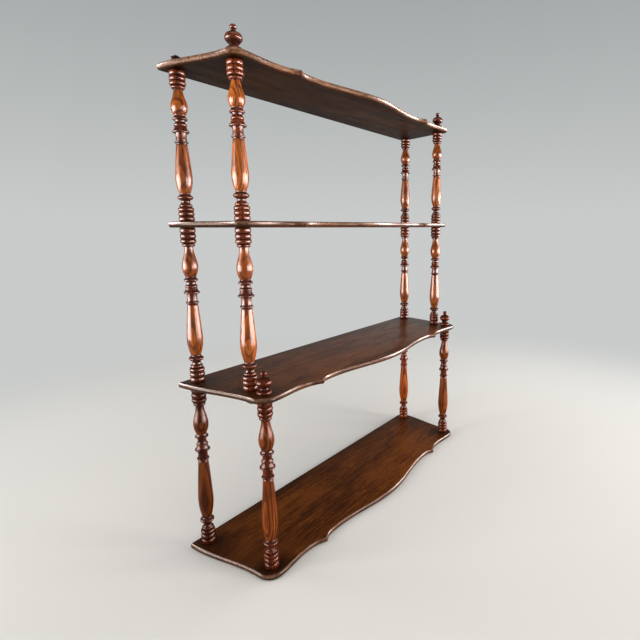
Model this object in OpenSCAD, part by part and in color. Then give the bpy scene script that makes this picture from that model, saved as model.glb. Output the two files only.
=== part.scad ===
// Hanging wall shelf: four boards with a serpentine front, held apart by turned spindles.
// The two lower boards are deeper than the two upper ones, so the front spindles of the
// lowest bay stand further forward than those above them.
// Origin: middle of the width and depth, on the underside of the bottom board.
// +X runs to the right, +Y to the back and +Z up. Sizes are in millimetres.

/* [Boards] */
// Width of the two lower boards along their back edge
board_w = 599; // [500:1:760]
// Depth of the two lower boards at the middle of the front
board_d = 167.3; // [150:0.1:200]
// How much narrower the two upper boards are at each end
upper_end_in = 3; // [0:0.5:6]
// How far the front of the two upper boards stays behind that of the lower ones
upper_front_in = 26.5; // [25:0.5:45]
// Thickness of the three boards below the top one
board_t = 7.8; // [5:0.1:12]
// Thickness of the top board
top_board_t = 8.3; // [5:0.1:12]
// How far the rounded nose along the front and ends stands out past the flat faces
nose_out = 3.2; // [1:0.1:5]
// How much each end draws in from back to front
end_draw = 17.5; // [5:0.5:30]
// Radius of the two front corners of the lower boards
corner_r = 22; // [12:0.5:28]
// Radius of the two front corners of the upper boards
upper_corner_r = 14; // [10:0.5:28]

/* [Serpentine front] */
// How far the front corners stay behind the middle of the front
corner_back = 15; // [6:0.5:20]
// How far the hollow beside each corner stays behind the middle
outer_hollow_back = 19; // [14:0.5:26]
// How far the points stay behind the middle
point_back = 10; // [4:0.5:13]
// How far the hollow inside each point stays behind the middle
inner_hollow_back = 17; // [14:0.5:26]
// Distance of each hollow beside a corner from the middle of the width
outer_hollow_x = 208; // [195:1:225]
// Distance of each point from the middle of the width
point_x = 171; // [160:1:180]
// Distance of each hollow inside a point from the middle of the width
inner_hollow_x = 141; // [120:1:150]

/* [Posts] */
// Distance of the back posts from the ends of the lower boards
back_post_in = 19.5; // [17:0.5:40]
// Distance of the back posts from the back edge
back_post_from_back = 16.8; // [13:0.1:30]
// Distance of the front posts from the drawn-in ends of the lower boards
front_post_in = 21; // [17:0.5:40]
// Distance of the front posts from the front line of the corners
front_post_from_front = 19.5; // [16:0.5:35]

/* [Bays] */
// Clear height of the lower bay
lower_bay_h = 242.4; // [220:0.1:300]
// Clear height of the middle bay
middle_bay_h = 214; // [195:0.1:270]
// Clear height of the upper bay
upper_bay_h = 188.3; // [170:0.1:240]

/* [Lower spindles] */
// Height of each stack of four beads
lower_stack_h = 27.2; // [20:0.1:32]
// Height of the low ring above the board
lower_low_ring_up = 37.7; // [36:0.1:48]
// Distance of the flared collar below the board above
lower_collar_down = 74; // [60:0.5:85]
// Distance of the bell below the collar
lower_bell_drop = 20; // [15:0.1:24]
// Distance of the thin disc below the bell
lower_disc_drop = 14; // [9:0.1:18]

/* [Middle spindles] */
// Height of each stack of four beads
middle_stack_h = 25.2; // [19:0.1:28]
// Height of the low ring above the board
middle_low_ring_up = 34.2; // [33:0.1:44]
// Distance of the flared collar below the board above
middle_collar_down = 70.2; // [56:0.1:80]
// Distance of the bell below the collar
middle_bell_drop = 17; // [14.5:0.1:22]
// Distance of the thin disc below the bell
middle_disc_drop = 13.8; // [9:0.1:18]

/* [Upper spindles] */
// Height of each stack of four beads
upper_stack_h = 22.4; // [17:0.1:25]
// Height of the low ring above the board
upper_low_ring_up = 31.3; // [29:0.1:40]
// Distance of the flared collar below the board above
upper_collar_down = 58.8; // [50:0.1:70]
// Distance of the bell below the collar
upper_bell_drop = 15.6; // [14.5:0.1:20]
// Distance of the thin disc below the bell
upper_disc_drop = 13; // [9:0.1:16]

/* [Turned radii] */
// Radius of the three large beads of a stack
bead_r = 10.1; // [8.5:0.1:12.5]
// Radius of the small bead that ends a stack
small_bead_r = 8.4; // [7:0.1:10]
// Depth of the groove on each side of a large bead
bead_groove = 1.8; // [0.8:0.1:2.4]
// Radius of the thin necks next to the stacks
neck_r = 5.6; // [4.6:0.1:6.4]
// Radius of the low ring
low_ring_r = 9.9; // [8.5:0.1:12]
// Radius of the long vase at its foot
vase_foot_r = 6.5; // [5.5:0.1:7.5]
// Radius of the long vase at its fullest
vase_r = 10.7; // [9:0.1:13]
// Radius of the long vase at its top
vase_top_r = 7; // [6:0.1:7.8]
// Radius of the thin disc
disc_r = 8.5; // [8:0.1:11]
// Radius of the hollow between disc and bell
hollow_r = 6.6; // [5.5:0.1:7.5]
// Radius of the bell at its rim
bell_r = 10.5; // [9.5:0.1:13]
// Radius of the bead on top of the bell
bell_bead_r = 8; // [7:0.1:9]
// Radius of the collar at its rim
collar_r = 9.3; // [8.5:0.1:12]
// Radius of the neck under the collar
collar_neck_r = 6.1; // [5:0.1:6.8]
// Radius of the pear at its foot
pear_foot_r = 6.8; // [5.5:0.1:7.5]
// Radius of the pear at its fullest
pear_r = 10.4; // [9:0.1:13]

/* [Finials and buttons] */
// Height of each finial above its board
finial_h = 31.3; // [26:0.1:42]
// Radius of the finial's body
finial_r = 10.6; // [8:0.1:12]
// Radius of the finial's foot ring
finial_foot_r = 10; // [8:0.1:12]
// Radius of the finial's ball
finial_ball_r = 4.2; // [3:0.1:5]
// Height of each button on the top board
top_button_h = 10; // [9.5:0.1:14]
// Height of each button under the lower middle board
under_button_h = 11.8; // [9.5:0.1:14]
// Radius of the base of each button
button_r = 7.2; // [6.5:0.1:9]
// Radius of the dome on top of a button
button_tip_r = 3.4; // [2:0.1:4]

/* [Joints] */
// Radius of the round tenons
tenon_r = 4; // [3:0.1:4.5]
// Clearance round a tenon in its hole
tenon_gap = 0.1; // [0.05:0.01:0.3]
// Length of tenon that enters the spindle below
tenon_reach = 12; // [8:0.5:15]
// Length of tenon that enters a button from above
button_reach = 3.2; // [2:0.1:4]
// Clearance past the end of a tenon
end_gap = 0.5; // [0.2:0.1:1.5]

/* [Hidden] */

BOARD_WOOD = [0.27, 0.15, 0.09];
SPINDLE_WOOD = [0.45, 0.19, 0.08];

// Sides of the round holes and tenons
ROUND = 64;
// Steps along each stretch of the board's outline, and round its nose
CURVE_STEPS = 8;
BULGE_STEPS = 14;
NOSE_STEPS = 8;

// Levels of the board undersides
lower_middle_z = board_t + lower_bay_h;
upper_middle_z = lower_middle_z + board_t + middle_bay_h;
top_z = upper_middle_z + board_t + upper_bay_h;

// Width, depth and corner radius of the two kinds of board
deep_board = [board_w, board_d, corner_r];
shallow_board = [board_w - 2 * upper_end_in, board_d - upper_front_in, upper_corner_r];

// Plan positions of the posts
back_y = board_d / 2;
back_post_x = board_w / 2 - back_post_in;
back_post_y = back_y - back_post_from_back;
front_post_x = board_w / 2 - end_draw - front_post_in;
deep_post_y = back_y - board_d + corner_back + front_post_from_front;
shallow_post_y = deep_post_y + upper_front_in;
back_posts = [[-back_post_x, back_post_y], [back_post_x, back_post_y]];
deep_posts = [[-front_post_x, deep_post_y], [front_post_x, deep_post_y]];
shallow_posts = [[-front_post_x, shallow_post_y], [front_post_x, shallow_post_y]];

// Lengths of the tenons below the shoulder of a spindle, finial or button
flush_tenon = board_t - end_gap;
through_tenon = board_t + tenon_reach;
top_tenon = top_board_t + tenon_reach;
button_tenon = board_t + button_reach;

// Turning marks of the three spindle lengths:
// [length, bead stack, low ring height, collar below the top, bell drop, disc drop]
lower_marks = [lower_bay_h, lower_stack_h, lower_low_ring_up,
    lower_collar_down, lower_bell_drop, lower_disc_drop];
middle_marks = [middle_bay_h, middle_stack_h, middle_low_ring_up,
    middle_collar_down, middle_bell_drop, middle_disc_drop];
upper_marks = [upper_bay_h, upper_stack_h, upper_low_ring_up,
    upper_collar_down, upper_bell_drop, upper_disc_drop];

// Soft step from 0 to 1
function ease(u) = (1 - cos(180 * u)) / 2;
function mix(a, b, u) = a + (b - a) * u;

// Even steps up to 1. They leave out 0, where each stretch of a curve meets the one before.
function steps(count) = [for (i = [1:count]) i / count];

// Right half of a board's outline, from the middle of the front to the back corner
function half_outline(size) = let(
    back_half_w = size[0] / 2,
    front_half_w = back_half_w - end_draw,
    front_y = back_y - size[1],
    corner_y = front_y + corner_back,
    round_r = size[2],
    corner_x = front_half_w - round_r,
    inner_y = front_y + inner_hollow_back,
    point_y = front_y + point_back,
    outer_y = front_y + outer_hollow_back
) [
    [0, front_y],
    for (u = steps(BULGE_STEPS))
        [mix(0, inner_hollow_x, u), mix(front_y, inner_y, ease(u))],
    for (u = steps(CURVE_STEPS))
        [mix(inner_hollow_x, point_x, u), mix(inner_y, point_y, pow(u, 3))],
    for (u = steps(CURVE_STEPS))
        [mix(point_x, outer_hollow_x, u), mix(outer_y, point_y, pow(1 - u, 2.6))],
    for (u = steps(CURVE_STEPS))
        [mix(outer_hollow_x, corner_x, u), mix(outer_y, corner_y, ease(u))],
    for (u = steps(CURVE_STEPS))
        [corner_x + round_r * sin(90 * u), corner_y + round_r * (1 - cos(90 * u))],
    for (u = steps(CURVE_STEPS))
        [mix(front_half_w, back_half_w, ease(u)), mix(corner_y + round_r, back_y, u)]
];

// Whole outline, anticlockwise from the back left corner along the front
function outline(size) = let(half = half_outline(size), last = len(half) - 1) [
    for (i = [last:-1:1]) [-half[i][0], half[i][1]],
    for (p = half) p
];

function unit(v) = v / norm(v);
// Inward normal of the edge from p to q
function inward(p, q) = let(d = unit(q - p)) [-d[1], d[0]];

// Point on the line that lies at distance a inside the edge before a corner and b inside
// the edge after it, as a shift from the corner
function corner_shift(n, m, a, b) = let(cross = n[0] * m[1] - n[1] * m[0])
    abs(cross) < 0.01 && a == b
        ? a * (n + m) / (1 + n * m)
        : [a * m[1] - b * n[1], b * n[0] - a * m[0]] / cross;

// Outline moved inwards by d along the front and ends. The back edge stays.
function inset(points, d) = let(count = len(points)) [
    for (i = [0:count - 1]) let(
        before = i == 0 ? count - 1 : i - 1,
        after = i == count - 1 ? 0 : i + 1,
        n = inward(points[before], points[i]),
        m = inward(points[i], points[after])
    ) points[i] + corner_shift(n, m, i == 0 ? 0 : d, i == count - 1 ? 0 : d)
];

// A board with its rounded nose, lofted through insets of one outline, and its post holes
module board(size, thickness, posts) {
    edge = outline(size);
    count = len(edge);
    layers = [
        for (k = [0:NOSE_STEPS]) let(
            a = mix(-90, 90, k / NOSE_STEPS),
            z = thickness * (1 + sin(a)) / 2
        ) for (p = inset(edge, nose_out * (1 - cos(a)))) [p[0], p[1], z]
    ];
    sides = [
        for (k = [0:NOSE_STEPS - 1], i = [0:count - 1]) let(
            j = (i + 1) % count,
            low = k * count,
            high = low + count
        ) each [[low + i, high + i, high + j], [low + i, high + j, low + j]]
    ];
    underside = [for (i = [0:count - 1]) i];
    topside = [for (i = [count - 1:-1:0]) NOSE_STEPS * count + i];
    difference() {
        polyhedron(points = layers, faces = concat([underside, topside], sides));
        for (p = posts)
            translate([p[0], p[1], -1])
                cylinder(r = tenon_r + tenon_gap, h = thickness + 2, $fn = ROUND);
    }
}

// Half an ellipse that stands out from radius r to radius out, between two heights
function bead(low, high, r, out, count = 10) = [
    for (i = [0:count]) let(a = 180 * i / count)
        [mix(r, out, sin(a)), mix(low, high, (1 - cos(a)) / 2)]
];

// Curve that is drawn in from a straight line between two points
function hollow(low, high, r_low, r_high, depth, count = 8) = [
    for (i = [1:count - 1]) let(u = i / count)
        [mix(r_low, r_high, u) - depth * sin(180 * u), mix(low, high, u)]
];

// Bead stack: three large beads and a small one, each thinner than the last. It is
// drawn upwards from height z.
STACK_SHARES = [0, 0.305, 0.585, 0.825, 1];
function stack(z, h) = let(groove_r = bead_r - bead_groove) [
    for (i = [0:3]) each bead(
        z + h * STACK_SHARES[i], z + h * STACK_SHARES[i + 1],
        i == 3 ? small_bead_r - bead_groove : groove_r,
        i == 3 ? small_bead_r : bead_r)
];

// The same stack turned over, so that its large beads are at the top
function flip(points, z) = [
    for (i = [len(points) - 1:-1:0]) [points[i][0], z - points[i][1]]
];

// Flared skirt: a flat underside, a rounded rim and an eased slope up to radius r_top
RIM_H = 2.6;
RIM_OUT = 0.9;
function skirt(z, h, r_under, r_rim, r_top) = [
    [r_under, z - RIM_H / 2],
    each bead(z - RIM_H / 2, z + RIM_H / 2, r_rim - RIM_OUT, r_rim, 6),
    for (i = [1:6]) let(u = i / 6)
        [mix(r_rim - RIM_OUT - 0.1, r_top, pow(u, 0.8)), mix(z + RIM_H / 2, z + h, pow(u, 1.25))]
];

// Long vase: full near its foot and tapering upwards
VASE_FULL_AT = 0.33;
function vase(low, high, count = 24) = [
    for (i = [0:count]) let(
        u = i / count,
        foot = 1 - pow(1 - u / VASE_FULL_AT, 2),
        taper = (u - VASE_FULL_AT) / (1 - VASE_FULL_AT)
    ) [
        u < VASE_FULL_AT
            ? mix(vase_foot_r, vase_r, foot)
            : mix(vase_r, vase_top_r, pow(taper, 1.2)),
        mix(low, high, u)
    ]
];

// Pear: full near its foot, with a long drawn-in neck
PEAR_FULL_AT = 0.34;
function pear(low, high, count = 20) = [
    for (i = [0:count]) let(
        u = i / count,
        foot = 1 - u / PEAR_FULL_AT,
        neck = (u - PEAR_FULL_AT) / (1 - PEAR_FULL_AT)
    ) [
        u < PEAR_FULL_AT
            ? mix(pear_r, pear_foot_r, pow(foot, 2))
            : mix(pear_r, neck_r, ease(pow(neck, 0.9))),
        mix(low, high, u)
    ]
];

// Heights of the turned details about their own marks
LOW_RING_BELOW = 3.2;
LOW_RING_ABOVE = 4.4;
DISC_H = 3.2;
DISC_GROOVE = 1.6;
BELL_H = 6.6;
BELL_BEAD_H = 3.4;
COLLAR_H = 4.2;

// Outline of a spindle from its lower shoulder to its upper shoulder
function spindle_outline(marks) = let(
    length = marks[0],
    stack_h = marks[1],
    ring_z = marks[2],
    collar_z = length - marks[3],
    bell_z = collar_z - marks[4],
    disc_z = bell_z - marks[5],
    ring_low = ring_z - LOW_RING_BELOW,
    ring_high = ring_z + LOW_RING_ABOVE,
    disc_low = disc_z - DISC_H / 2,
    disc_high = disc_z + DISC_H / 2,
    bell_low = bell_z - RIM_H / 2,
    bell_high = bell_z + BELL_H,
    bead_high = bell_high + BELL_BEAD_H,
    collar_low = collar_z - RIM_H / 2,
    pear_low = collar_z + COLLAR_H,
    pear_high = length - stack_h
) [
    each stack(0, stack_h),
    each hollow(stack_h, ring_low, small_bead_r - bead_groove, neck_r + 0.8, 0.9),
    for (i = [0:6]) let(a = 15 * i)
        [mix(neck_r + 0.8, low_ring_r, sin(a)), mix(ring_low, ring_z, 1 - cos(a))],
    for (i = [1:8]) let(u = i / 8)
        [mix(low_ring_r, vase_foot_r, ease(u)), mix(ring_z, ring_high, u)],
    each vase(ring_high + 0.2, disc_low - DISC_GROOVE),
    [vase_top_r - 0.5, disc_low - DISC_GROOVE / 2],
    each bead(disc_low, disc_high, vase_top_r - 0.3, disc_r, 8),
    each hollow(disc_high, bell_low, hollow_r + 0.3, hollow_r + 0.3, 0.3),
    each skirt(bell_z, BELL_H, hollow_r + 0.3, bell_r, bell_bead_r - 0.8),
    each bead(bell_high, bead_high, bell_bead_r - 0.9, bell_bead_r, 8),
    each hollow(bead_high, collar_low, bell_bead_r - 1.2, collar_neck_r + 0.4, 0.6),
    each skirt(collar_z, COLLAR_H, collar_neck_r + 0.4, collar_r, pear_foot_r),
    each pear(pear_low + 0.2, pear_high),
    each flip(stack(0, stack_h), length)
];

// Round tenon from the shoulder downwards, with a chamfered end
CHAMFER = 0.6;
module tenon(length) {
    translate([0, 0, -length])
        cylinder(r1 = tenon_r - CHAMFER, r2 = tenon_r, h = CHAMFER, $fn = ROUND);
    translate([0, 0, CHAMFER - length])
        cylinder(r = tenon_r, h = length - CHAMFER + 1, $fn = ROUND);
}

// Solid turned about the Z axis from an outline that runs upwards
module turned(points) {
    last = len(points) - 1;
    rotate_extrude($fn = ROUND)
        polygon([[0, points[0][1]], each points, [0, points[last][1]]]);
}

// Spindle on its own tenon, with a socket in its top for the next tenon
module spindle(marks, tenon_length) {
    socket_h = tenon_reach + end_gap;
    color(SPINDLE_WOOD) {
        difference() {
            union() {
                turned(spindle_outline(marks));
                tenon(tenon_length);
            }
            translate([0, 0, marks[0] - socket_h])
                cylinder(r = tenon_r + tenon_gap, h = socket_h + 1, $fn = ROUND);
        }
    }
}

// Half a dome from radius r at height low up to the axis at height high
function dome(low, high, r, count = 8) = [
    for (i = [0:count - 1]) let(a = 90 * i / count)
        [r * cos(a), mix(low, high, sin(a))]
];

// Marks of a finial as shares of its height
FOOT_LOW = 0.01;
FOOT_TOP = 0.155;
WAIST = 0.257;
BODY_FULL = 0.49;
BODY_TOP = 0.618;
CAP_LOW = 0.637;
CAP_TOP = 0.767;
RING_TOP = 0.803;
BALL_MID = 0.895;

// A low foot ring, a full body under a cone-shaped cap, a small ring and a ball
function finial_outline() = let(
    h = finial_h,
    waist_r = finial_foot_r * 0.54,
    shoulder_r = finial_r * 0.87,
    cap_r = finial_r * 0.84,
    throat_r = finial_ball_r * 0.52,
    ring_r = finial_ball_r * 0.76
) [
    [finial_foot_r - 1.4, 0],
    each bead(h * FOOT_LOW, h * FOOT_TOP, finial_foot_r - 1.6, finial_foot_r),
    each hollow(h * FOOT_TOP, h * WAIST, finial_foot_r - 1.9, waist_r, 0.5, 6),
    for (i = [0:8]) let(u = i / 8)
        [mix(waist_r, finial_r, sin(90 * pow(u, 1.2))), mix(h * WAIST, h * BODY_FULL, u)],
    for (i = [1:6]) let(u = i / 6)
        [mix(finial_r, shoulder_r, pow(u, 2.2)), mix(h * BODY_FULL, h * BODY_TOP, u)],
    [cap_r - 0.4, h * (BODY_TOP + CAP_LOW) / 2],
    for (i = [0:6]) let(u = i / 6)
        [mix(cap_r, throat_r, (u + ease(u)) / 2), mix(h * CAP_LOW, h * CAP_TOP, u)],
    each bead(h * CAP_TOP + 0.1, h * RING_TOP, throat_r + 0.1, ring_r, 6),
    for (i = [0:5]) let(a = 18 * i)
        [mix(throat_r, finial_ball_r, sin(a)), mix(h * RING_TOP + 0.1, h * BALL_MID, 1 - cos(a))],
    each dome(h * BALL_MID, h, finial_ball_r)
];

module finial(tenon_length) {
    color(SPINDLE_WOOD) {
        turned(finial_outline());
        tenon(tenon_length);
    }
}

// Low turned button: a rounded base, a drawn-in neck, a thin brim and a dome
function button_outline(h) = let(
    neck_r = button_r * 0.5,
    brim_r = button_r * 0.86
) [
    each bead(0, h * 0.38, button_r - 0.8, button_r, 8),
    each hollow(h * 0.38, h * 0.62, button_r - 1.2, neck_r, 0.5, 6),
    each bead(h * 0.64, h * 0.76, neck_r, brim_r, 6),
    each dome(h * 0.77, h, button_tip_r)
];

// Button on top of the top board, with a tenon down into the back spindle
module top_button() {
    color(SPINDLE_WOOD) {
        turned(button_outline(top_button_h));
        tenon(top_tenon);
    }
}

// Button under the lower middle board, bored for the tenon of the spindle above
module under_button() {
    color(SPINDLE_WOOD) {
        mirror([0, 0, 1]) {
            difference() {
                turned(button_outline(under_button_h));
                translate([0, 0, -1])
                    cylinder(r = tenon_r + tenon_gap, h = button_reach + end_gap + 1, $fn = ROUND);
            }
        }
    }
}

// Moves a piece to a post, at a height
module at(post, z) {
    translate([post[0], post[1], z]) children();
}

module bottom_board() {
    color(BOARD_WOOD) board(deep_board, board_t, concat(back_posts, deep_posts));
}

module lower_middle_board() {
    color(BOARD_WOOD)
        translate([0, 0, lower_middle_z])
            board(deep_board, board_t, concat(back_posts, deep_posts, shallow_posts));
}

module upper_middle_board() {
    color(BOARD_WOOD)
        translate([0, 0, upper_middle_z])
            board(shallow_board, board_t, concat(back_posts, shallow_posts));
}

module top_board() {
    color(BOARD_WOOD)
        translate([0, 0, top_z])
            board(shallow_board, top_board_t, concat(back_posts, shallow_posts));
}

module lower_spindle(post) {
    at(post, board_t) spindle(lower_marks, flush_tenon);
}

module middle_spindle(post, tenon_length) {
    at(post, lower_middle_z + board_t) spindle(middle_marks, tenon_length);
}

module upper_spindle(post) {
    at(post, upper_middle_z + board_t) spindle(upper_marks, through_tenon);
}

bottom_board();
lower_middle_board();
upper_middle_board();
top_board();
lower_spindle(back_posts[0]);  // lower_spindle_back_left
lower_spindle(back_posts[1]);  // lower_spindle_back_right
lower_spindle(deep_posts[0]);  // lower_spindle_front_left
lower_spindle(deep_posts[1]);  // lower_spindle_front_right
middle_spindle(back_posts[0], through_tenon);  // middle_spindle_back_left
middle_spindle(back_posts[1], through_tenon);  // middle_spindle_back_right
middle_spindle(shallow_posts[0], button_tenon);  // middle_spindle_front_left
middle_spindle(shallow_posts[1], button_tenon);  // middle_spindle_front_right
upper_spindle(back_posts[0]);  // upper_spindle_back_left
upper_spindle(back_posts[1]);  // upper_spindle_back_right
upper_spindle(shallow_posts[0]);  // upper_spindle_front_left
upper_spindle(shallow_posts[1]);  // upper_spindle_front_right
at(deep_posts[0], lower_middle_z + board_t) finial(through_tenon);  // lower_finial_left
at(deep_posts[1], lower_middle_z + board_t) finial(through_tenon);  // lower_finial_right
at(shallow_posts[0], top_z + top_board_t) finial(top_tenon);  // upper_finial_left
at(shallow_posts[1], top_z + top_board_t) finial(top_tenon);  // upper_finial_right
at(back_posts[0], top_z + top_board_t) top_button();  // top_button_left
at(back_posts[1], top_z + top_board_t) top_button();  // top_button_right
at(shallow_posts[0], lower_middle_z) under_button();  // under_button_left
at(shallow_posts[1], lower_middle_z) under_button();  // under_button_right
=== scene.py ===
"""Looks of the wall shelf: turned spindles, finials and serpentine boards, polished.

Lengths of the pieces are given in millimetres, as in the CAD source, and become metres
when a mesh is made. Materials, stage, lamps and camera are in metres.
"""
import math

import bpy
from mathutils import Matrix, Vector


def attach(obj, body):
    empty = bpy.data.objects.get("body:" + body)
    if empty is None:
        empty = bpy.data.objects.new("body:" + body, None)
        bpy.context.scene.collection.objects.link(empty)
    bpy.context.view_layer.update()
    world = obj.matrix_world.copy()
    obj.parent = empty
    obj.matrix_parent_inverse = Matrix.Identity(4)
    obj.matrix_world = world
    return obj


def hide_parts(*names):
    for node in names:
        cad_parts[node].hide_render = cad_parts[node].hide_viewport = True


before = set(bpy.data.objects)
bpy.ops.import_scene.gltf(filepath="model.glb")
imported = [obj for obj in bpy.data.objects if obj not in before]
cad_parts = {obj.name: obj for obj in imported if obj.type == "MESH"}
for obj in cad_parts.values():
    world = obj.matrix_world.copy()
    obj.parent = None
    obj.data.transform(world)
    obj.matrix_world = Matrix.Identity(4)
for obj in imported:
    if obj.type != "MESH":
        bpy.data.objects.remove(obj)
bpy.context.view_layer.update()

MM = 0.001

# Boards
BOARD_W, BOARD_D, BOARD_T, TOP_BOARD_T = 599, 167.3, 7.8, 8.3
UPPER_END_IN, UPPER_FRONT_IN = 3, 26.5
NOSE_OUT, END_DRAW, CORNER_R, UPPER_CORNER_R = 3.2, 17.5, 22, 14
CORNER_BACK, OUTER_HOLLOW_BACK, POINT_BACK, INNER_HOLLOW_BACK = 15, 19, 10, 17
OUTER_HOLLOW_X, POINT_X, INNER_HOLLOW_X = 208, 171, 141
POINT_INNER_POWER, POINT_OUTER_POWER = 3, 2.6
BACK_Y = BOARD_D / 2
DEEP = (BOARD_W, BOARD_D, CORNER_R)
SHALLOW = (BOARD_W - 2 * UPPER_END_IN, BOARD_D - UPPER_FRONT_IN, UPPER_CORNER_R)

# Bays: clear height, bead stack, low ring, collar below the top, bell drop, disc drop
LOWER = (242.4, 27.2, 37.7, 74, 20, 14)
MIDDLE = (214, 25.2, 34.2, 70.2, 17, 13.8)
UPPER = (188.3, 22.4, 31.3, 58.8, 15.6, 13)
LOWER_MIDDLE_Z = BOARD_T + LOWER[0]
UPPER_MIDDLE_Z = LOWER_MIDDLE_Z + BOARD_T + MIDDLE[0]
TOP_Z = UPPER_MIDDLE_Z + BOARD_T + UPPER[0]

# Posts: how far in from the boards' ends, and from the back edge or the front corners
BACK_POST_IN, BACK_POST_FORWARD = 19.5, 16.8
FRONT_POST_IN, FRONT_POST_BACK = 21, 19.5
BACK_POST = (BOARD_W / 2 - BACK_POST_IN, BACK_Y - BACK_POST_FORWARD)
DEEP_POST = (BOARD_W / 2 - END_DRAW - FRONT_POST_IN,
             BACK_Y - BOARD_D + CORNER_BACK + FRONT_POST_BACK)
SHALLOW_POST = (DEEP_POST[0], DEEP_POST[1] + UPPER_FRONT_IN)

# Turned radii
BEAD_R, SMALL_BEAD_R, BEAD_GROOVE = 10.1, 8.4, 1.8
NECK_R, LOW_RING_R = 5.6, 9.9
VASE_FOOT_R, VASE_R, VASE_TOP_R = 6.5, 10.7, 7
DISC_R, HOLLOW_R, BELL_R, BELL_BEAD_R = 8.5, 6.6, 10.5, 8
COLLAR_R, COLLAR_NECK_R, PEAR_FOOT_R, PEAR_R = 9.3, 6.1, 6.8, 10.4
FINIAL_R, FINIAL_FOOT_R, FINIAL_BALL_R = 10.6, 10, 4.2
BUTTON_R, BUTTON_TIP_R = 7.2, 3.4

# Turned heights
RING_BELOW, RING_ABOVE = 3.2, 4.4
RIM_H, RIM_OUT, DISC_H, DISC_GROOVE = 2.6, 0.9, 3.2, 1.6
BELL_H, BELL_BEAD_H, COLLAR_H, FILLET = 6.6, 3.4, 4.2, 0.2
FINIAL_H, TOP_BUTTON_H, UNDER_BUTTON_H = 31.3, 10, 11.8

# Where the beads of a stack meet, and where a vase and a pear are fullest, as shares
BEAD_SHARES = (0, 0.305, 0.585, 0.825, 1)
VASE_FULL, PEAR_FULL = 0.33, 0.34

# How fine the meshes are
SEGMENTS, NOSE_RINGS = 80, 14
SHARP_ANGLE = 38


def mix(a, b, u):
    return a + (b - a) * u


def ease(u):
    return (1 - math.cos(math.pi * u)) / 2


def steps(count):
    return [(i + 1) / count for i in range(count)]


# ---- outlines of the turned pieces: lists of (radius, height) that run upwards ----

def bead(low, high, r, out, count=14):
    return [(mix(r, out, math.sin(math.pi * i / count)),
             mix(low, high, ease(i / count))) for i in range(count + 1)]


def hollow(low, high, r_low, r_high, depth, count=10):
    return [(mix(r_low, r_high, i / count) - depth * math.sin(math.pi * i / count),
             mix(low, high, i / count)) for i in range(1, count)]


def quarter(low, high, r_low, r_high, count=10):
    """Bulges out from r_low at height low to r_high at height high."""
    turns = [math.pi / 2 * i / count for i in range(count + 1)]
    return [(mix(r_low, r_high, math.sin(a)), mix(low, high, 1 - math.cos(a))) for a in turns]


def dome(low, high, r, count=10):
    turns = [math.pi / 2 * i / count for i in range(count)]
    return [(r * math.cos(a), mix(low, high, math.sin(a))) for a in turns]


def stack(z, h):
    """Four beads, of which the last is smaller."""
    points = []
    for i in range(4):
        out = SMALL_BEAD_R if i == 3 else BEAD_R
        points += bead(z + h * BEAD_SHARES[i], z + h * BEAD_SHARES[i + 1],
                       out - BEAD_GROOVE, out)
    return points


def skirt(z, h, r_under, r_rim, r_top):
    """A thin rim at height z under a slope that draws in to r_top."""
    half = RIM_H / 2
    points = [(r_under, z - half)]
    points += bead(z - half, z + half, r_rim - RIM_OUT, r_rim, 10)
    points += [(mix(r_rim - RIM_OUT - 0.1, r_top, u ** 0.8), mix(z + half, z + h, u ** 1.25))
               for u in steps(10)]
    return points


def vase(low, high, count=40):
    points = []
    for i in range(count + 1):
        u = i / count
        if u < VASE_FULL:
            r = mix(VASE_FOOT_R, VASE_R, 1 - (1 - u / VASE_FULL) ** 2)
        else:
            r = mix(VASE_R, VASE_TOP_R, ((u - VASE_FULL) / (1 - VASE_FULL)) ** 1.2)
        points.append((r, mix(low, high, u)))
    return points


def pear(low, high, count=34):
    points = []
    for i in range(count + 1):
        u = i / count
        if u < PEAR_FULL:
            r = mix(PEAR_R, PEAR_FOOT_R, (1 - u / PEAR_FULL) ** 2)
        else:
            r = mix(PEAR_R, NECK_R, ease(((u - PEAR_FULL) / (1 - PEAR_FULL)) ** 0.9))
        points.append((r, mix(low, high, u)))
    return points


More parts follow.
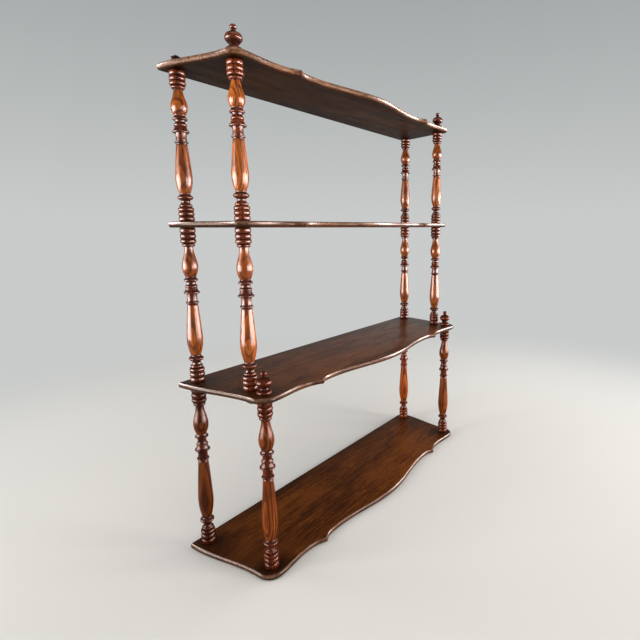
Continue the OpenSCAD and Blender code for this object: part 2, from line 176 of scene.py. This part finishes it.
def spindle_outline(marks):
    """A bay's spindle, and the spans of its two long smooth parts."""
    length, stack_h, ring, collar_down, bell_drop, disc_drop = marks
    collar = length - collar_down
    bell = collar - bell_drop
    disc = bell - disc_drop
    ring_low, ring_high = ring - RING_BELOW, ring + RING_ABOVE
    disc_low, disc_high = disc - DISC_H / 2, disc + DISC_H / 2
    bell_high = bell + BELL_H
    bead_high = bell_high + BELL_BEAD_H
    vase_span = (ring_high + FILLET, disc_low - DISC_GROOVE)
    pear_span = (collar + COLLAR_H + FILLET, length - stack_h)
    ring_foot_r, hollow_r, collar_foot_r = NECK_R + 0.8, HOLLOW_R + 0.3, COLLAR_NECK_R + 0.4

    points = stack(0, stack_h)
    points += hollow(stack_h, ring_low, SMALL_BEAD_R - BEAD_GROOVE, ring_foot_r, 0.9)
    points += quarter(ring_low, ring, ring_foot_r, LOW_RING_R)
    points += [(mix(LOW_RING_R, VASE_FOOT_R, ease(u)), mix(ring, ring_high, u))
               for u in steps(12)]
    points += vase(*vase_span)
    points.append((VASE_TOP_R - 0.5, disc_low - DISC_GROOVE / 2))
    points += bead(disc_low, disc_high, VASE_TOP_R - 0.3, DISC_R, 10)
    points += hollow(disc_high, bell - RIM_H / 2, hollow_r, hollow_r, 0.3)
    points += skirt(bell, BELL_H, hollow_r, BELL_R, BELL_BEAD_R - 0.8)
    points += bead(bell_high, bead_high, BELL_BEAD_R - 0.9, BELL_BEAD_R, 12)
    points += hollow(bead_high, collar - RIM_H / 2, BELL_BEAD_R - 1.2, collar_foot_r, 0.6)
    points += skirt(collar, COLLAR_H, collar_foot_r, COLLAR_R, PEAR_FOOT_R)
    points += pear(*pear_span)
    points += [(r, length - z) for r, z in reversed(stack(0, stack_h))]
    return points, (vase_span, pear_span)


def finial_outline():
    h = FINIAL_H
    foot_low, foot_top, waist, full, body_top, cap_low, cap_top, ring_top, ball = (
        h * share for share in (0.01, 0.155, 0.257, 0.49, 0.618, 0.637, 0.767, 0.803, 0.895))
    waist_r = FINIAL_FOOT_R * 0.54
    body_top_r, cap_r = FINIAL_R * 0.87, FINIAL_R * 0.84
    throat_r, ring_r = FINIAL_BALL_R * 0.52, FINIAL_BALL_R * 0.76
    points = [(FINIAL_FOOT_R - 1.4, 0)]
    points += bead(foot_low, foot_top, FINIAL_FOOT_R - 1.6, FINIAL_FOOT_R)
    points += hollow(foot_top, waist, FINIAL_FOOT_R - 1.9, waist_r, 0.5)
    points += [(mix(waist_r, FINIAL_R, math.sin(math.pi / 2 * u ** 1.2)), mix(waist, full, u))
               for u in [0] + steps(16)]
    points += [(mix(FINIAL_R, body_top_r, u ** 2.2), mix(full, body_top, u))
               for u in steps(8)]
    points.append((cap_r - 0.4, (body_top + cap_low) / 2))
    points += [(mix(cap_r, throat_r, (u + ease(u)) / 2), mix(cap_low, cap_top, u))
               for u in [0] + steps(10)]
    points += bead(cap_top + 0.1, ring_top, throat_r + 0.1, ring_r, 8)
    points += quarter(ring_top + 0.1, ball, throat_r, FINIAL_BALL_R)
    points += dome(ball, h, FINIAL_BALL_R)
    return points, ()


def button_outline(h):
    foot_top, waist, ring_low, ring_top, tip = (
        h * share for share in (0.38, 0.62, 0.64, 0.76, 0.77))
    waist_r, ring_r = BUTTON_R * 0.5, BUTTON_R * 0.86
    points = bead(0, foot_top, BUTTON_R - 0.8, BUTTON_R, 12)
    points += hollow(foot_top, waist, BUTTON_R - 1.2, waist_r, 0.5)
    points += bead(ring_low, ring_top, waist_r, ring_r, 8)
    points += dome(tip, h, BUTTON_TIP_R)
    return points, ()


def stain_and_shade(points, spans):
    """For each point, how much dark staining lies there, with painted shade added in the
    grooves.

    The deep grooves hold most, the beads and rings some, and the long smooth spans none.
    A piece without such spans counts as beads and rings all over.
    """
    beside, slack, deep = 1.5, 0.1, 1.3
    no_span, lead, fade = 9, 2.5, 4
    found = []
    for r, h in points:
        near = max(q for q, g in points if abs(g - h) < beside)
        groove = min(1, max(0, near - r - slack) / deep)
        off = min([max(low - h, h - high) for low, high in spans] + [no_span])
        ring = min(1, max(0, off + lead) / fade)
        found.append(max(groove * (0.35 + 0.65 * ring), 0.42 * ring + 0.58 * groove * ring))
    return found


# ---- meshes ----

def add_piece(name, verts, faces, flat, node, mark, values):
    """A piece in place of a CAD node. flat holds the numbers of its flat-shaded faces.

    values, one for each vertex, are kept in the mesh under the name mark.
    """
    mesh = bpy.data.meshes.new(name)
    mesh.from_pydata([tuple(c * MM for c in v) for v in verts], [], faces)
    mesh.polygons.foreach_set("use_smooth", [i not in flat for i in range(len(faces))])
    mesh.set_sharp_from_angle(angle=math.radians(SHARP_ANGLE))
    mesh.attributes.new(mark, "FLOAT", "POINT").data.foreach_set("value", values)
    mesh.update()
    piece = bpy.data.objects.new(name, mesh)
    bpy.context.scene.collection.objects.link(piece)
    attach(piece, "root")
    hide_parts(node)
    return piece


def turned(node, outline, spans, post, z, hang):
    """Lathes an outline about a post's axis, upwards from z or hanging down from it."""
    sign = -1 if hang else 1
    verts, faces, values = [], [], []
    for (r, h), dark in zip(outline, stain_and_shade(outline, spans)):
        values += [dark] * SEGMENTS
        for k in range(SEGMENTS):
            a = 2 * math.pi * k / SEGMENTS
            verts.append((post[0] + r * math.cos(a), post[1] + sign * r * math.sin(a),
                          z + sign * h))
    for i in range(len(outline) - 1):
        for k in range(SEGMENTS):
            low, after = i * SEGMENTS, (k + 1) % SEGMENTS
            faces.append((low + k, low + after, low + SEGMENTS + after, low + SEGMENTS + k))
    faces.append(tuple(reversed(range(SEGMENTS))))
    last = (len(outline) - 1) * SEGMENTS
    faces.append(tuple(range(last, last + SEGMENTS)))
    ends = {len(faces) - 1, len(faces) - 2}
    return add_piece(node + "_turned", verts, faces, ends, node, "stain_and_shade", values)


def half_outline(size):
    """The right half of a board's front and end, from the middle of the front."""
    width, depth, round_r = size
    back_half = width / 2
    front_half = back_half - END_DRAW
    front = BACK_Y - depth
    corner_x, corner_y = front_half - round_r, front + CORNER_BACK
    inner, point = front + INNER_HOLLOW_BACK, front + POINT_BACK
    outer = front + OUTER_HOLLOW_BACK
    points = [(0, front)]
    points += [(INNER_HOLLOW_X * u, mix(front, inner, ease(u))) for u in steps(36)]
    points += [(mix(INNER_HOLLOW_X, POINT_X, u), mix(inner, point, u ** POINT_INNER_POWER))
               for u in steps(16)]
    points += [(mix(POINT_X, OUTER_HOLLOW_X, u),
                mix(outer, point, (1 - u) ** POINT_OUTER_POWER)) for u in steps(18)]
    points += [(mix(OUTER_HOLLOW_X, corner_x, u), mix(outer, corner_y, ease(u)))
               for u in steps(16)]
    points += [(corner_x + round_r * math.sin(math.pi / 2 * u),
                corner_y + round_r * (1 - math.cos(math.pi / 2 * u))) for u in steps(14)]
    points += [(mix(front_half, back_half, ease(u)), mix(corner_y + round_r, BACK_Y, u))
               for u in steps(24)]
    return points


def inset(points, d):
    """The outline moved inwards by d, except along the back edge."""
    count = len(points)
    moved = []
    for i, p in enumerate(points):
        before, after = points[i - 1], points[(i + 1) % count]
        e, f = (p - before).normalized(), (after - p).normalized()
        n, m = Vector((-e.y, e.x)), Vector((-f.y, f.x))
        a, b = (0 if i == 0 else d), (0 if i == count - 1 else d)
        cross = n.x * m.y - n.y * m.x
        if abs(cross) < 0.01 and a == b:
            moved.append(p + a * (n + m) / (1 + n.dot(m)))
        else:
            moved.append(p + Vector((a * m.y - b * n.y, b * n.x - a * m.x)) / cross)
    return moved


def board(node, size, z, thickness):
    """A board with a rounded nose and a square back, and the number of its underside's face."""
    half = half_outline(size)
    edge = [Vector((-x, y)) for x, y in reversed(half[1:])] + [Vector(p) for p in half]
    count = len(edge)
    verts, faces, values = [], [], []
    for k in range(NOSE_RINGS + 1):
        a = math.pi * (k / NOSE_RINGS - 0.5)
        values += [math.cos(a)] * count
        for p in inset(edge, NOSE_OUT * (1 - math.cos(a))):
            verts.append((p.x, p.y, z + thickness * (1 + math.sin(a)) / 2))
    flat = set()
    for k in range(NOSE_RINGS):
        for i in range(count):
            j, low, high = (i + 1) % count, k * count, (k + 1) * count
            if i == count - 1:
                flat.add(len(faces))
            faces.append((low + i, low + j, high + j, high + i))
    underside = len(faces)
    flat |= {underside, underside + 1}
    faces.append(tuple(reversed(range(count))))
    faces.append(tuple(range(NOSE_RINGS * count, (NOSE_RINGS + 1) * count)))
    return add_piece(node + "_polished", verts, faces, flat, node, "nose", values), underside


# ---- materials ----

class Nodes:
    """Short calls that add nodes to a material's or a world's tree."""

    def __init__(self, tree):
        self.tree = tree
        self.shader = tree.nodes.get("Principled BSDF")

    def set(self, socket, value):
        if isinstance(value, bpy.types.NodeSocket):
            self.tree.links.new(value, socket)
        else:
            socket.default_value = value

    def add(self, kind, inputs=(), **settings):
        made = self.tree.nodes.new(kind)
        for key, value in settings.items():
            setattr(made, key, value)
        for key, value in dict(inputs).items():
            self.set(made.inputs[key], value)
        return made

    def place(self, shift=(0, 0, 0), turn=(0, 0, 0), scale=(1, 1, 1)):
        """The object's own coordinates, shifted, turned and scaled in that order."""
        coords = self.add("ShaderNodeTexCoord").outputs["Object"]
        moved = self.add("ShaderNodeVectorMath", {0: coords, 1: shift}, operation="ADD")
        return self.add("ShaderNodeMapping", {"Vector": moved.outputs[0], "Rotation": turn,
                                              "Scale": scale}).outputs[0]

    def noise(self, vector, scale, detail, roughness, distortion=0):
        return self.add("ShaderNodeTexNoise", {
            "Vector": vector, "Scale": scale, "Detail": detail, "Roughness": roughness,
            "Distortion": distortion}).outputs["Fac"]

    def mark(self, name):
        """What a mesh holds under that name."""
        return self.add("ShaderNodeAttribute", attribute_name=name).outputs["Fac"]

    def math(self, operation, a, b=0.0):
        return self.add("ShaderNodeMath", {0: a, 1: b}, operation=operation).outputs[0]

    def weighted(self, first, *others):
        """The sum of values, each times its weight."""
        total = self.math("MULTIPLY", *first)
        for other in others:
            total = self.math("ADD", total, self.math("MULTIPLY", *other))
        return total

    def scaled(self, value, low, high, to_low=0.0, to_high=1.0):
        return self.add("ShaderNodeMapRange", {
            "Value": value, "From Min": low, "From Max": high,
            "To Min": to_low, "To Max": to_high}).outputs[0]

    def ramp(self, value, stops):
        made = self.add("ShaderNodeValToRGB", {"Fac": value})
        ends = made.color_ramp.elements
        while len(ends) < len(stops):
            ends.new(0.5)
        for element, (at, colour) in zip(ends, stops):
            element.position = at
            element.color = (*colour, 1)
        return made.outputs[0]

    def blend(self, factor, a, b, mode="MIX"):
        made = self.add("ShaderNodeMix", data_type="RGBA", blend_type=mode)
        self.set(made.inputs["Factor"], factor)
        for socket, colour in ((made.inputs[6], a), (made.inputs[7], b)):
            self.set(socket, (*colour, 1) if isinstance(colour, tuple) else colour)
        return made.outputs[2]

    def bump(self, height, distance, strength, before=None):
        inputs = {"Height": height, "Distance": distance, "Strength": strength}
        if before is not None:
            inputs["Normal"] = before
        return self.add("ShaderNodeBump", inputs).outputs[0]


def new_material(name):
    material = bpy.data.materials.new(name)
    material.use_nodes = True
    return material, Nodes(material.node_tree)


def times(colour, factors):
    return tuple(c * k for c, k in zip(colour, factors))


WOOD_IOR, POLISH_IOR = 1.45, 1.52
WARM_SHINE = (1.0, 0.60, 0.42, 1)


def polish(n, roughness, normal, coat_normal, coat, coat_roughness, shine):
    """French polish: a thin clear gloss over wood whose own shine is warm and soft."""
    n.set(n.shader.inputs["Roughness"], roughness)
    n.set(n.shader.inputs["Normal"], normal)
    n.set(n.shader.inputs["Coat Normal"], coat_normal)
    for socket, value in (("Coat Weight", coat), ("Coat Roughness", coat_roughness),
                          ("Coat IOR", POLISH_IOR), ("IOR", WOOD_IOR),
                          ("Specular IOR Level", shine), ("Specular Tint", WARM_SHINE)):
        n.shader.inputs[socket].default_value = value


# Colours of the boards: the grain from dark to light, and what lies over it
BOARD_GRAIN = ((0.42, (0.040, 0.0085, 0.0014)), (0.47, (0.068, 0.0165, 0.0024)),
               (0.53, (0.108, 0.0295, 0.0040)), (0.58, (0.155, 0.0460, 0.0062)))
BOARD_WARM, BOARD_CLOUD = (0.175, 0.0500, 0.0068), (0.030, 0.0095, 0.0028)
BOARD_PORE, BOARD_DARKEST = (0.014, 0.0050, 0.002), (0.0105, 0.0040, 0.0020)
# Colours of the rubbed nose, which on its upper part also stand for a painted highlight
WEAR_AND_HIGHLIGHT_DARK, WEAR_AND_HIGHLIGHT_LIGHT = (0.080, 0.030, 0.012), (0.240, 0.115, 0.062)
# Painted shade: how much darker and cooler the underside's colour is than the top's
UNDERSIDE_PAINTED_SHADE = (0.42, 0.47, 0.56)

# Between which distances a board gets darker: out towards the ends, back towards the back edge,
# onto that edge, and in towards a post
ENDS_DARK, BACK_DARK, EDGE_DARK = (0.215, 0.292), (0.045, 0.082), (0.0790, 0.0825)
POST_DARK = (0.044, 0.012)


def board_wood(name, shift, posts, polished, gloss=0.0, rise=0.15, bare_and_highlight=1.0, nose_gloss=0.7):
    """Dark brown wood with its grain along X, darkest round the posts, rubbed lighter at its
    nose, with a painted highlight on top.
    """
    material, n = new_material(name)

    def grain(across, *noise):
        """Noise that is finer across the board than along it."""
        return n.noise(n.place(shift, scale=(1, across, across)), *noise)

    figure, streaks = grain(9, 6, 3, 0.55, 0.6), grain(15, 20, 4, 0.72)
    flecks, pores = grain(4, 90, 3, 0.65), grain(14, 75, 2, 0.5)
    cloud, warm = grain(1.7, 7, 3, 0.5), grain(2.2, 9, 2, 0.5)
    wood = n.ramp(n.weighted((figure, 0.25), (streaks, 0.5), (flecks, 0.25)), BOARD_GRAIN)
    wood = n.blend(n.scaled(warm, 0.48, 0.72, 0, 0.55), wood, BOARD_WARM)
    wood = n.blend(n.scaled(cloud, 0.52, 0.34, 0, 0.45), wood, BOARD_CLOUD)
    wood = n.blend(n.scaled(pores, 0.43, 0.33, 0, 0.6), wood, BOARD_PORE)

    # The wood gets darker round the posts, at the ends and along the back, and darkest on the
    # back edge.
    coords = n.add("ShaderNodeTexCoord").outputs["Object"]
    mirrored = n.add("ShaderNodeVectorMath", {0: coords}, operation="ABSOLUTE").outputs[0]
    x = n.add("ShaderNodeSeparateXYZ", {0: mirrored}).outputs[0]
    y = n.add("ShaderNodeSeparateXYZ", {0: coords}).outputs[1]
    plan = n.add("ShaderNodeCombineXYZ", {0: x, 1: y}).outputs[0]
    dark = n.scaled(x, *ENDS_DARK, 0, 0.62)
    dark = n.math("MAXIMUM", dark, n.scaled(y, *BACK_DARK, 0, 0.5))
    dark = n.math("MAXIMUM", dark, n.scaled(y, *EDGE_DARK, 0, 0.95))
    for post in posts:
        away = n.add("ShaderNodeVectorMath", {0: plan, 1: (post[0] * MM, post[1] * MM, 0)},
                     operation="DISTANCE").outputs["Value"]
        dark = n.math("MAXIMUM", dark, n.scaled(away, *POST_DARK, 0, 0.85))
    dark = n.math("MULTIPLY", dark, n.scaled(cloud, 0.25, 0.6, 0.55, 1.15))
    wood = n.blend(dark, wood, BOARD_DARKEST)

    # The nose is rubbed to lighter wood. Where it faces up more than rise says, this is also a
    # painted highlight, and where it faces down it stays darker as painted shade.
    facing = n.add("ShaderNodeTexCoord").outputs["Normal"]
    painted_light_upward = n.scaled(n.add("ShaderNodeSeparateXYZ", {0: facing}).outputs[2],
                      rise - 0.3, rise + 0.3, 0.2, 1)
    nose = n.math("MULTIPLY", n.mark("nose"), painted_light_upward)
    wear_and_highlight = n.math("MULTIPLY", n.scaled(nose, 0.2, 0.8),
                  n.scaled(grain(1, 26, 4, 0.65), 0.33, 0.62, 0.45, 1.0))
    light = n.blend(n.scaled(streaks, 0.4, 0.6), times(WEAR_AND_HIGHLIGHT_DARK, [bare_and_highlight] * 3),
                    times(WEAR_AND_HIGHLIGHT_LIGHT, [bare_and_highlight] * 3))
    wood = n.blend(wear_and_highlight, wood, light)
    # The underside's copy of the wood is darkened as painted shade.
    if not polished:
        wood = n.blend(1.0, wood, UNDERSIDE_PAINTED_SHADE, "MULTIPLY")
    n.set(n.shader.inputs["Base Color"], wood)

    wear, ripple = grain(3, 18, 4, 0.6), grain(2.5, 16, 3, 0.5)
    relief = n.bump(n.math("MULTIPLY", n.math("ADD", pores, streaks), 0.5), 0.0003, 0.3)
    if polished:
        polish(n, n.scaled(wear, 0.3, 0.7, 0.3, 0.45), relief,
               n.bump(ripple, 0.0008, 0.15, n.bump(streaks, 0.0002, 0.25)), gloss, 0.2, 0.03)
        n.set(n.shader.inputs["Coat Weight"], n.scaled(nose, 0.1, 0.7, gloss, nose_gloss))
    else:
        polish(n, n.scaled(wear, 0.3, 0.7, 0.55, 0.75), relief,
               n.bump(ripple, 0.0008, 0.15, relief), 0.06, 0.3, 0.06)
    return material


# The turned wood of each bay and kind: its main colour, how much of that is left on the
# stained rings, how much of the clear gloss shows, where across a growth ring its dark
# line is full, and how suddenly it gets there. The lower posts are redder and darker.
TURNED_WOODS = {
    "lower": ((0.290, 0.0660, 0.0055), 0.62, 0.18, 0.70, 2.4),
    "middle": ((0.475, 0.1200, 0.0130), 0.42, 0.37, 1.0, 1.6),
    "upper": ((0.475, 0.1280, 0.0150), 0.46, 0.40, 0.85, 1.9),
    "top": ((0.260, 0.0500, 0.0110), 0.6, 0.45, 1.0, 1.6),
    "under": ((0.150, 0.0270, 0.0060), 0.5, 0.45, 1.0, 1.6)}
# How bright a piece's wood is beside the others of its bay. The lower finials' extra brightness
# is a painted sheen in place of more gloss.
TONE_AND_SHEEN = {
    "lower_finial_left": 1.4, "lower_finial_right": 1.4,
    "lower_spindle_back_left": 0.68, "lower_spindle_back_right": 2.0,
    "lower_spindle_front_left": 1.1, "lower_spindle_front_right": 1.15,
    "middle_spindle_front_left": 1.1, "upper_spindle_back_left": 1.2,
    "upper_spindle_front_left": 1.5, "upper_spindle_front_right": 1.2}
# Dark staining in the grooves, deepened as painted shade, and dark staining in the pores
GROOVE_STAIN_AND_SHADE, PORE_STAIN = (0.0320, 0.0080, 0.0038), (0.020, 0.0050, 0.0022)
# The tree's middle lies this far from a post's axis, with this many growth rings in a metre
PITH_AWAY, RINGS_IN_METRE, RING_WARP = 0.031, 290, 0.013


def turned_wood(name, post, z, number, colour, left, gloss, full, fineness):
    """Red-brown polished wood, its rings cut so that they show as long flames.

    number gives each piece its own cut from the tree.
    """
    material, n = new_material(name)
    a = 3.75 + 0.6 * math.sin(2.4 * number)
    pith = (-post[0] * MM + PITH_AWAY * math.cos(a), -post[1] * MM + PITH_AWAY * math.sin(a),
            -z * MM + 0.13 * number)

    def grain(along, scale, detail, roughness=0.55):
        """Noise that is drawn out along the post, the more so the smaller along is."""
        return n.noise(n.place(pith, scale=(1, 1, along)), scale, detail, roughness)

    apart = n.add("ShaderNodeSeparateXYZ", {0: n.place(pith)})
    x, y = apart.outputs[0], apart.outputs[1]
    radius = n.math("SQRT", n.weighted((x, x), (y, y)))
    radius = n.math("ADD", radius, n.math("MULTIPLY", grain(0.09, 34, 2, 0.5), RING_WARP))
    turns = n.math("FRACT", n.math("ADD", n.math("MULTIPLY", radius, RINGS_IN_METRE), 0.4))
    late = n.math("POWER", n.scaled(turns, 0, full), fineness)
    fine = grain(0.05, 420, 2)
    wood = n.ramp(n.weighted((grain(0.10, 95, 3, 0.6), 0.6), (fine, 0.4)), (
        (0.35, times(colour, (0.42, 0.36, 0.36))), (0.46, times(colour, (0.78, 0.72, 0.70))),
        (0.56, colour), (0.68, [min(0.8, c * 1.3) for c in colour])))
    depth = n.scaled(grain(0.2, 30, 2), 0.35, 0.65, 0.6, 1.0)
    cloud = n.scaled(grain(0.6, 38, 2), 0.35, 0.62, 0.45, 0)
    wood = n.blend(cloud, wood, times(colour, (0.40, 0.30, 0.35)))
    wood = n.blend(n.math("MULTIPLY", late, depth), wood, times(colour, (0.14, 0.08, 0.16)))
    wood = n.blend(n.scaled(fine, 0.40, 0.30, 0, 0.65), wood, PORE_STAIN)
    # Staining on beads and rings, and in the grooves painted shade as well
    dark = n.math("MULTIPLY", n.mark("stain_and_shade"),
                  n.scaled(grain(1, 55, 3, 0.6), 0.3, 0.65, 0.75, 1.1))
    ring = n.blend(1.0, wood, (left, left * 0.72, left * 1.1), "MULTIPLY")
    wood = n.blend(n.scaled(dark, 0, 0.42), wood, ring)
    wood = n.blend(n.scaled(dark, 0.45, 1.0), wood, GROOVE_STAIN_AND_SHADE)
    n.set(n.shader.inputs["Base Color"], wood)
    polish(n, n.scaled(grain(1, 60, 3, 0.6), 0.3, 0.7, 0.34, 0.5), n.bump(fine, 0.0001, 0.2),
           n.bump(grain(0.5, 120, 2), 0.0002, 0.12), gloss, 0.22, 0.02)
    # The polish is thin, so it mirrors less at a glancing angle than a thick coat would.
    glance = n.add("ShaderNodeLayerWeight", {"Blend": 0.5}).outputs["Facing"]
    n.set(n.shader.inputs["Coat Weight"], n.scaled(glance, 0.5, 1.0, gloss, gloss * 0.3))
    return material


def dress(piece, slot, *materials):
    for material in materials:
        piece.data.materials.append(material)


# ---- the pieces ----

# Two sets of pieces, because some lamps light only one of them
flat_pieces = bpy.data.collections.new("flat_pieces")
turned_pieces = bpy.data.collections.new("turned_pieces")

# Each board's size, height, thickness and posts, and its look: the gloss of its faces, how far
# up its nose faces where its rubbed wood carries a painted highlight, how bright that rubbed
# and highlit wood is, and the nose's gloss
BOARDS = (
    ("bottom_board", DEEP, 0, BOARD_T, (BACK_POST, DEEP_POST), (0.04, 0.15, 1.0, 0.7)),
    ("lower_middle_board", DEEP, LOWER_MIDDLE_Z, BOARD_T,
     (BACK_POST, DEEP_POST, SHALLOW_POST), (0.2, 0.15, 1.0, 0.7)),
    ("upper_middle_board", SHALLOW, UPPER_MIDDLE_Z, BOARD_T,
     (BACK_POST, SHALLOW_POST), (0.2, 0.0, 1.2, 0.6)),
    ("top_board", SHALLOW, TOP_Z, TOP_BOARD_T,
     (BACK_POST, SHALLOW_POST), (0.2, -0.6, 1.7, 0.32)))
# How far apart in the wood's pattern the boards are cut
CUT_APART = (0.31, 0.17, 0.23)

for number, (node, size, z, thickness, posts, look) in enumerate(BOARDS):
    shift = times(CUT_APART, [number] * 3)
    piece, underside = board(node, size, z, thickness)
    dress(piece, "board_wood", board_wood(node + "_wood", shift, posts, True, *look),
          board_wood(node + "_wood_below", shift, posts, False))
    piece.data.polygons[underside].material_index = 1
    flat_pieces.objects.link(piece)

TURNED = []
for bay, marks, z, front in (("lower", LOWER, BOARD_T, DEEP_POST),
                             ("middle", MIDDLE, LOWER_MIDDLE_Z + BOARD_T, SHALLOW_POST),
                             ("upper", UPPER, UPPER_MIDDLE_Z + BOARD_T, SHALLOW_POST)):
    for row, post in (("back", BACK_POST), ("front", front)):
        TURNED.append(("%s_spindle_%s" % (bay, row), spindle_outline(marks), post, z, False))
TURNED += [
    ("lower_finial", finial_outline(), DEEP_POST, LOWER_MIDDLE_Z + BOARD_T, False),
    ("upper_finial", finial_outline(), SHALLOW_POST, TOP_Z + TOP_BOARD_T, False),
    ("top_button", button_outline(TOP_BUTTON_H), BACK_POST, TOP_Z + TOP_BOARD_T, False),
    ("under_button", button_outline(UNDER_BUTTON_H), SHALLOW_POST, LOWER_MIDDLE_Z, True),
]

number = 0
for stem, (outline, spans), (x, y), z, hang in TURNED:
    colour, *look = TURNED_WOODS[stem.split("_")[0]]
    for side, post in (("left", (-x, y)), ("right", (x, y))):
        node = "%s_%s" % (stem, side)
        piece = turned(node, outline, spans, post, z, hang)
        own = times(colour, [TONE_AND_SHEEN.get(node, 1)] * 3)
        dress(piece, "spindle_wood", turned_wood(node + "_wood", post, z, number, own, *look))
        turned_pieces.objects.link(piece)
        number += 1


# ---- stage, lamps and camera ----

def seen(n):
    """1 for rays that see the backdrop: straight, in a gloss or through glass."""
    path = n.add("ShaderNodeLightPath")
    value = path.outputs["Is Camera Ray"]
    for other in ("Is Glossy Ray", "Is Transmission Ray"):
        value = n.math("MAXIMUM", value, path.outputs[other])
    return value


HORIZON = (0.585, 0.600, 0.595)
OVERHEAD = (0.310, 0.338, 0.340)
PAINT, DAYLIGHT, DAYLIGHT_STRENGTH = (0.71, 0.71, 0.69, 1), (0.93, 0.96, 1.0, 1), 0.3
FLOOR_REACH, FLOOR_Z = 14, -0.0002
# Between these distances the floor fades to the horizon's colour
FADE_FROM, FADE_TO = 0.4, 1.5
# Between these heights of view the backdrop turns from the horizon's colour to that overhead
VIEW_LOW, VIEW_HIGH = 0.02, 0.52

floor_mesh = bpy.data.meshes.new("floor")
floor_mesh.from_pydata([(x * FLOOR_REACH, y * FLOOR_REACH, FLOOR_Z)
                        for x, y in ((-1, -1), (1, -1), (1, 1), (-1, 1))], [], [(0, 1, 2, 3)])
floor = bpy.data.objects.new("floor", floor_mesh)
bpy.context.scene.collection.objects.link(floor)
floor_paint, n = new_material("floor_paint")
n.shader.inputs["Base Color"].default_value = PAINT
n.shader.inputs["Roughness"].default_value = 0.8
n.shader.inputs["Specular IOR Level"].default_value = 0.2
far = n.add("ShaderNodeEmission", {"Color": (*HORIZON, 1)})
where = n.add("ShaderNodeTexCoord").outputs["Object"]
away = n.add("ShaderNodeVectorMath", {0: where}, operation="LENGTH").outputs["Value"]
fade = n.add("ShaderNodeMapRange", {"Value": away, "From Min": FADE_FROM, "From Max": FADE_TO},
             interpolation_type="SMOOTHERSTEP").outputs[0]
joined = n.add("ShaderNodeMixShader", {0: n.math("MULTIPLY", fade, seen(n)),
                                       1: n.shader.outputs[0], 2: far.outputs[0]})
n.tree.links.new(joined.outputs[0], n.tree.nodes["Material Output"].inputs["Surface"])
floor_mesh.materials.append(floor_paint)

world = bpy.data.worlds.new("studio")
bpy.context.scene.world = world
world.use_nodes = True
n = Nodes(world.node_tree)
sky = n.tree.nodes["Background"]
sky.inputs["Strength"].default_value = DAYLIGHT_STRENGTH
sky.inputs["Color"].default_value = DAYLIGHT
direction = n.add("ShaderNodeTexCoord").outputs["Generated"]
height = n.add("ShaderNodeSeparateXYZ", {0: direction}).outputs[2]
shade = n.blend(n.scaled(height, VIEW_LOW, VIEW_HIGH), HORIZON, OVERHEAD)
backdrop = n.add("ShaderNodeBackground", {"Color": shade})
either = n.add("ShaderNodeMixShader", {0: seen(n), 1: sky.outputs[0], 2: backdrop.outputs[0]})
n.tree.links.new(either.outputs[0], n.tree.nodes["World Output"].inputs["Surface"])

MIDDLE_OF_SHELF = (0, 0, 0.35)
WARM = (1.0, 0.95, 0.90)
PINK = (1.0, 0.90, 0.88)


def softbox(name, place, width, height, watts, colour=WARM, glossy=True, only=None):
    """A lamp that faces the shelf. One kept to some pieces shows only in their gloss."""
    lamp = bpy.data.lights.new(name, "AREA")
    lamp.shape = "RECTANGLE"
    lamp.size, lamp.size_y = width, height
    lamp.energy = watts
    lamp.color = colour
    holder = bpy.data.objects.new(name, lamp)
    holder.location = place
    aim = Vector(MIDDLE_OF_SHELF) - Vector(place)
    holder.rotation_euler = aim.to_track_quat("-Z", "Y").to_euler()
    holder.visible_camera = False
    holder.visible_diffuse = only is None
    holder.visible_glossy = glossy
    if only:
        holder.light_linking.receiver_collection = only
    bpy.context.scene.collection.objects.link(holder)


softbox("left_softbox", (-1.72, 0.82, 0.62), 0.7, 1.1, 22)
softbox("right_softbox", (0.66, -1.78, 0.66), 0.6, 1.1, 19)
softbox("edge_softbox", (1.56, -1.10, 0.52), 0.9, 0.9, 15)
softbox("top_softbox", (-0.2, -0.35, 2.2), 1.6, 1.6, 15)
# Two from behind, which brighten the edges of the turnings but don't show in a gloss
softbox("left_rear", (-1.20, 2.15, 0.9), 1.0, 1.2, 17, glossy=False)
softbox("right_rear", (2.40, -0.40, 0.9), 1.0, 1.2, 17, glossy=False)
# Wide low panels that show only in the gloss of the turned pieces, as broad highlights on
# both sides of a turning
for name, place, width, height, watts in (
        ("left_panel", (-1.68, 0.85, 0.40), 2.0, 0.9, 220),
        ("right_panel", (0.55, -1.80, 0.40), 2.2, 0.9, 260),
        ("edge_panel", (1.56, -1.10, 0.40), 1.1, 0.8, 80)):
    softbox(name, place, width, height, watts, PINK, only=turned_pieces)
# Two higher ones that draw a bright line along the upper part of the boards' noses
for name, place, width, height, watts in (
        ("left_nose_panel", (-1.05, 1.70, 1.25), 0.9, 1.2, 100),
        ("right_nose_panel", (1.75, -0.80, 1.20), 0.9, 1.1, 85)):
    softbox(name, place, width, height, watts, PINK, only=flat_pieces)

# The camera stands where the photograph was taken, found from the posts and boards.
CAMERA_AT = (-0.64494, -0.49252, 0.46965)
AZIMUTH, ELEVATION, ROLL = 54.6516, -9.3526, -0.2563
LENS, SENSOR = 25.7893, 36
SHIFT = (-0.0800, -0.0249)

data = bpy.data.cameras.new("camera")
data.lens, data.sensor_width = LENS, SENSOR
data.shift_x, data.shift_y = SHIFT
data.clip_start = 0.02
camera = bpy.data.objects.new("camera", data)
turn = (Matrix.Rotation(math.radians(-AZIMUTH), 4, "Z")
        @ Matrix.Rotation(math.radians(90 + ELEVATION), 4, "X")
        @ Matrix.Rotation(math.radians(ROLL), 4, "Z"))
camera.matrix_world = Matrix.Translation(CAMERA_AT) @ turn
bpy.context.scene.collection.objects.link(camera)
bpy.context.scene.camera = camera

bpy.context.scene.view_settings.view_transform = "Standard"
